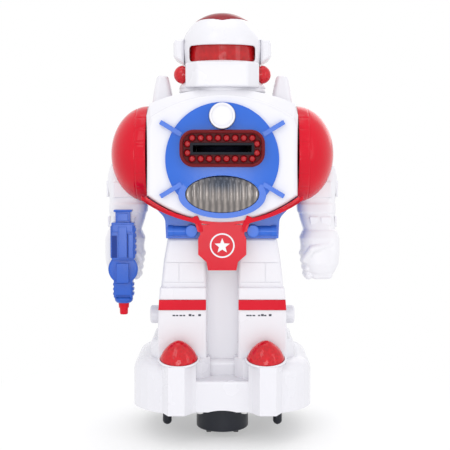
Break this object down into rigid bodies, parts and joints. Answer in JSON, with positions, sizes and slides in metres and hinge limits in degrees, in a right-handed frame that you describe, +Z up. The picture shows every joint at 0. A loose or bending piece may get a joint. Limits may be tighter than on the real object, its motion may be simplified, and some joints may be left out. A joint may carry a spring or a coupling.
{
  "type": "toy robot",
  "caption": "Walking-figure toy robot in white, red and blue plastic with a turning head, swinging arms, a blaster, a chest slot that fires soft discs, and a spinning drive turret below.",
  "frame": {"origin": "floor point below the middle of the robot", "axes": "+Z up, the robot faces -Y, its own left side is +X"},
  "size_m": [0.1868, 0.114, 0.332],
  "materials": {
    "torso_front": "white moulded shell",
    "torso_back": "white moulded shell",
    "case_screws": "zinc plated",
    "shoulder_posts": "white moulded",
    "chest_plate": "blue moulded",
    "lamp_bezel": "clear dark red plastic",
    "launch_chute": "black moulded",
    "belly_lens": "clear ribbed plastic",
    "belly_reflector": "vacuum metallised",
    "belly_lamp": "lamp on its holder",
    "trim_shield": "red moulded",
    "shield_emblem": "printed sticker",
    "waist": "blue moulded",
    "legs_front": "white moulded shell",
    "legs_back": "white moulded shell",
    "knee_bands": "red sticker on the knee",
    "toe_lamps": "clear red plastic",
    "knee_knobs": "white moulded",
    "base_plate": "black moulded",
    "skids": "black moulded",
    "rear_axle_pins": "steel wire",
    "battery_cells": "dry cells",
    "battery_contacts": "plated strip",
    "disc_magazine": "black moulded",
    "launch_motor": "motor can",
    "main_board": "circuit board",
    "speaker": "speaker",
    "turret_ring": "black moulded",
    "fire_button": "white moulded",
    "button_spring": "spring wire",
    "helmet_front": "white moulded",
    "helmet_rear": "white moulded",
    "crown_inlay": "red moulded",
    "visor": "clear red plastic",
    "ear_pods": "white moulded",
    "cheek_lamps": "clear red plastic",
    "head_base": "black moulded",
    "head_light_board": "circuit board with lamps",
    "shoulder_cap_left": "red moulded",
    "shoulder_cap_right": "red moulded",
    "arm_inner_left": "white moulded",
    "arm_outer_left": "white moulded",
    "arm_inner_right": "white moulded",
    "arm_outer_right": "white moulded",
    "blaster_half_outer": "blue moulded",
    "blaster_half_inner": "blue moulded",
    "blaster_tip": "red moulded",
    "turret_drum": "black moulded",
    "drive_motor": "motor can",
    "motor_pinion": "brass gear",
    "idler_gear": "white nylon",
    "axle_gear": "white nylon",
    "drive_axle": "steel",
    "drive_wheels": "black rubber",
    "rear_wheel_left": "black",
    "rear_wheel_right": "black",
    "foam_discs": "soft foam",
    "flywheel": "rubber",
    "power_switch": "black moulded",
    "battery_door": "white moulded"
  },
  "bodies": {
    "body": {"torso_front": "torso_front", "torso_back": "torso_back", "case_screws": "case_screws", "shoulder_posts": "shoulder_posts", "chest_plate": "chest_plate", "lamp_bezel": "lamp_bezel", "launch_chute": "launch_chute", "belly_lens": "belly_lens", "belly_reflector": "belly_reflector", "belly_lamp": "belly_lamp", "trim_shield": "trim_shield", "shield_emblem": "shield_emblem", "waist": "waist", "legs_front": "legs_front", "legs_back": "legs_back", "knee_bands": "knee_bands", "toe_lamps": "toe_lamps", "knee_knobs": "knee_knobs", "base_plate": "base_plate", "skids": "skids", "rear_axle_pins": "rear_axle_pins", "battery_cells": "battery_cells", "battery_contacts": "battery_contacts", "disc_magazine": "disc_magazine", "launch_motor": "launch_motor", "main_board": "main_board", "speaker": "speaker", "turret_ring": "turret_ring", "button_spring": "button_spring", "foam_discs": "foam_discs"},
    "fire_button": {"fire_button": "fire_button"},
    "head": {"helmet_front": "helmet_front", "helmet_rear": "helmet_rear", "crown_inlay": "crown_inlay", "visor": "visor", "ear_pods": "ear_pods", "cheek_lamps": "cheek_lamps", "head_base": "head_base", "head_light_board": "head_light_board"},
    "left_arm": {"shoulder_cap_left": "shoulder_cap_left", "arm_inner_left": "arm_inner_left", "arm_outer_left": "arm_outer_left"},
    "right_arm": {"shoulder_cap_right": "shoulder_cap_right", "arm_inner_right": "arm_inner_right", "arm_outer_right": "arm_outer_right"},
    "blaster": {"blaster_half_outer": "blaster_half_outer", "blaster_half_inner": "blaster_half_inner", "blaster_tip": "blaster_tip"},
    "turret": {"turret_drum": "turret_drum", "drive_motor": "drive_motor"},
    "pinion": {"motor_pinion": "motor_pinion"},
    "idler": {"idler_gear": "idler_gear"},
    "drive_wheelset": {"axle_gear": "axle_gear", "drive_axle": "drive_axle", "drive_wheels": "drive_wheels"},
    "rear_wheel_left": {"rear_wheel_left": "rear_wheel_left"},
    "rear_wheel_right": {"rear_wheel_right": "rear_wheel_right"},
    "flywheel": {"flywheel": "flywheel"},
    "power_switch": {"power_switch": "power_switch"},
    "battery_door": {"battery_door": "battery_door"}
  },
  "joints": [
    {"name": "head_turn", "type": "hinge", "parent": "body", "child": "head", "pos_m": [0, 0.001, 0.27], "axis": [0, 0, 1], "range_deg": [-45, 45]},
    {"name": "shoulder_left", "type": "hinge", "parent": "body", "child": "left_arm", "pos_m": [0.058, 0, 0.2205], "axis": [1, 0, 0], "range_deg": [-120, 40]},
    {"name": "shoulder_right", "type": "hinge", "parent": "body", "child": "right_arm", "pos_m": [-0.058, 0, 0.2205], "axis": [1, 0, 0], "range_deg": [-120, 40]},
    {"name": "blaster_pull", "type": "slide", "parent": "right_arm", "child": "blaster", "axis": [0, -1, 0], "range_m": [0, 0.04]},
    {"name": "fire_button_press", "type": "slide", "parent": "body", "child": "fire_button", "axis": [0, 1, 0], "range_m": [0, 0.002], "stiffness_N_per_m": 600, "springref_m": -0.001, "deforming": ["button_spring"]},
    {"name": "turret_spin", "type": "hinge", "parent": "body", "child": "turret", "pos_m": [0, -0.014, 0.02], "axis": [0, 0, 1], "continuous": true},
    {"name": "wheel_spin", "type": "hinge", "parent": "turret", "child": "drive_wheelset", "pos_m": [0, -0.014, 0.0125], "axis": [1, 0, 0], "continuous": true},
    {"name": "idler_spin", "type": "hinge", "parent": "turret", "child": "idler", "pos_m": [0, -0.014, 0.0235], "axis": [1, 0, 0], "continuous": true},
    {"name": "pinion_spin", "type": "hinge", "parent": "turret", "child": "pinion", "pos_m": [0, -0.014, 0.0315], "axis": [1, 0, 0], "continuous": true},
    {"name": "rear_wheel_left_spin", "type": "hinge", "parent": "body", "child": "rear_wheel_left", "pos_m": [0.041, 0.037, 0.014], "axis": [1, 0, 0], "continuous": true},
    {"name": "rear_wheel_right_spin", "type": "hinge", "parent": "body", "child": "rear_wheel_right", "pos_m": [-0.041, 0.037, 0.014], "axis": [1, 0, 0], "continuous": true},
    {"name": "flywheel_spin", "type": "hinge", "parent": "body", "child": "flywheel", "pos_m": [0.0269, -0.006, 0.225], "axis": [0, 0, 1], "continuous": true},
    {"name": "power_switch_slide", "type": "slide", "parent": "body", "child": "power_switch", "axis": [1, 0, 0], "range_m": [0, 0.002]},
    {"name": "battery_door_lift", "type": "slide", "parent": "body", "child": "battery_door", "axis": [0, 1, 0], "range_m": [0, 0.03]}
  ],
  "couplings": [
    {"joint": "idler_spin", "follows": "wheel_spin", "ratio": -0.83333},
    {"joint": "pinion_spin", "follows": "wheel_spin", "ratio": 2.5}
  ]
}
